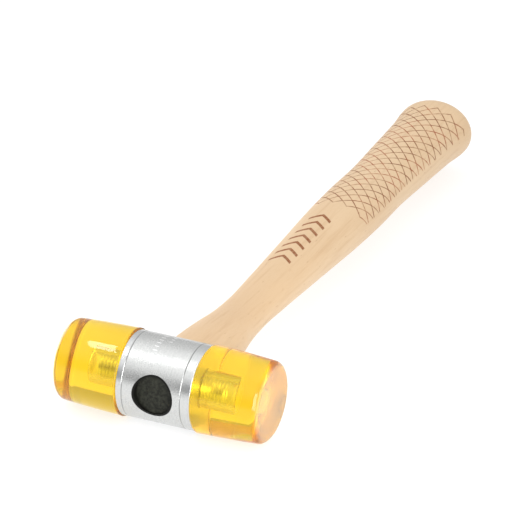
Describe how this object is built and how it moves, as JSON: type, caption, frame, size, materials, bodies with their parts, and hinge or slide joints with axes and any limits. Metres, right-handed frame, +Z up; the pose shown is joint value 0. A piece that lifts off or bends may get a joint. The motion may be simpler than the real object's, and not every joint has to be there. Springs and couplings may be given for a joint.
{
  "type": "soft-face mallet",
  "caption": "Soft-face mallet: round steel head, screw-on clear amber plastic striking faces, oval wooden handle with an etched diamond grip.",
  "frame": {"origin": "on the surface that the mallet lies on, under the middle of its length and of its head", "axes": "+X along the head to the right-hand face, +Y from the head to the butt of the handle, +Z up with the mallet lying on its side"},
  "size_m": [0.0892, 0.3098, 0.0361],
  "materials": {
    "turned_steel": "satin, fine turned lines",
    "stud_steel": "bright, rolled thread",
    "amber_acetate": "clear amber, polished",
    "beech": "sanded, thin matt lacquer, etched lines",
    "wedge_wood": "raw hardwood",
    "black_plug": "matt, fine speckle"
  },
  "bodies": {
    "mallet": {"head_body": "turned_steel", "handle": "beech", "eye_cap": "black_plug", "wood_wedge": "wedge_wood", "steel_wedge": "stud_steel", "left_stud": "stud_steel", "right_stud": "stud_steel"},
    "left_ring": {"left_ring": "turned_steel"},
    "left_face": {"left_face": "amber_acetate"},
    "right_ring": {"right_ring": "turned_steel"},
    "right_face": {"right_face": "amber_acetate"}
  },
  "joints": [
    {"name": "left_ring_slide", "type": "slide", "parent": "mallet", "child": "left_ring", "axis": [-1, 0, 0], "range_m": [0, 0.012]},
    {"name": "left_face_unscrew", "type": "hinge", "parent": "left_ring", "child": "left_face", "pos_m": [-0.0446, -0.13683, 0.01805], "axis": [-1, 0, 0], "range_deg": [0, 2880]},
    {"name": "right_ring_slide", "type": "slide", "parent": "mallet", "child": "right_ring", "axis": [1, 0, 0], "range_m": [0, 0.012]},
    {"name": "right_face_unscrew", "type": "hinge", "parent": "right_ring", "child": "right_face", "pos_m": [0.0446, -0.13683, 0.01805], "axis": [1, 0, 0], "range_deg": [0, 2880]}
  ],
  "couplings": [
    {"joint": "left_ring_slide", "follows": "left_face_unscrew", "m_per_rad": 0.00023873},
    {"joint": "right_ring_slide", "follows": "right_face_unscrew", "m_per_rad": 0.00023873}
  ]
}
